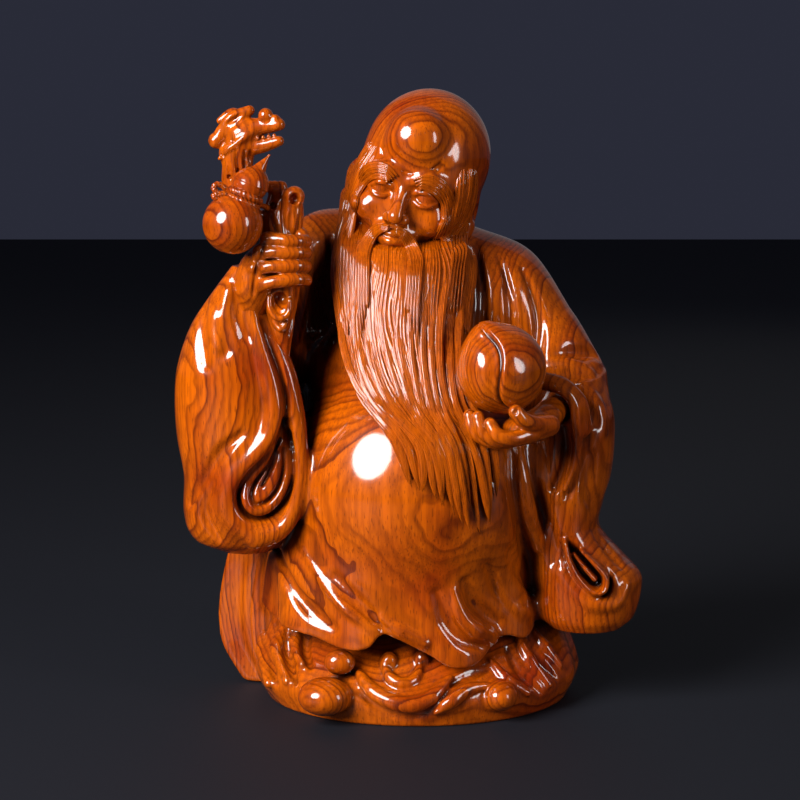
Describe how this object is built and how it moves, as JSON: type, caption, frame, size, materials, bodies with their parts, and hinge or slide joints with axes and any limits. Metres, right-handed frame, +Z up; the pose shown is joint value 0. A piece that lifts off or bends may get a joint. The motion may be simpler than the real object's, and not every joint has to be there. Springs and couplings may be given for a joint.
{
  "type": "shou lao figure",
  "caption": "Carved rosewood figure of a bearded old man of long life with a dragon staff, a gourd and a peach, on a low carved base.",
  "frame": {"origin": "on the flat underside of the base, about under the middle of the belly", "axes": "+Z up; the figure faces -Y, and its raised hand with the staff is on the -X side"},
  "size_m": [0.3004, 0.2137, 0.3952],
  "materials": {
    "rosewood": "polished rosewood under clear gloss lacquer"
  },
  "bodies": {
    "root": {"shou_lao_figure": "rosewood"}
  },
  "joints": []
}
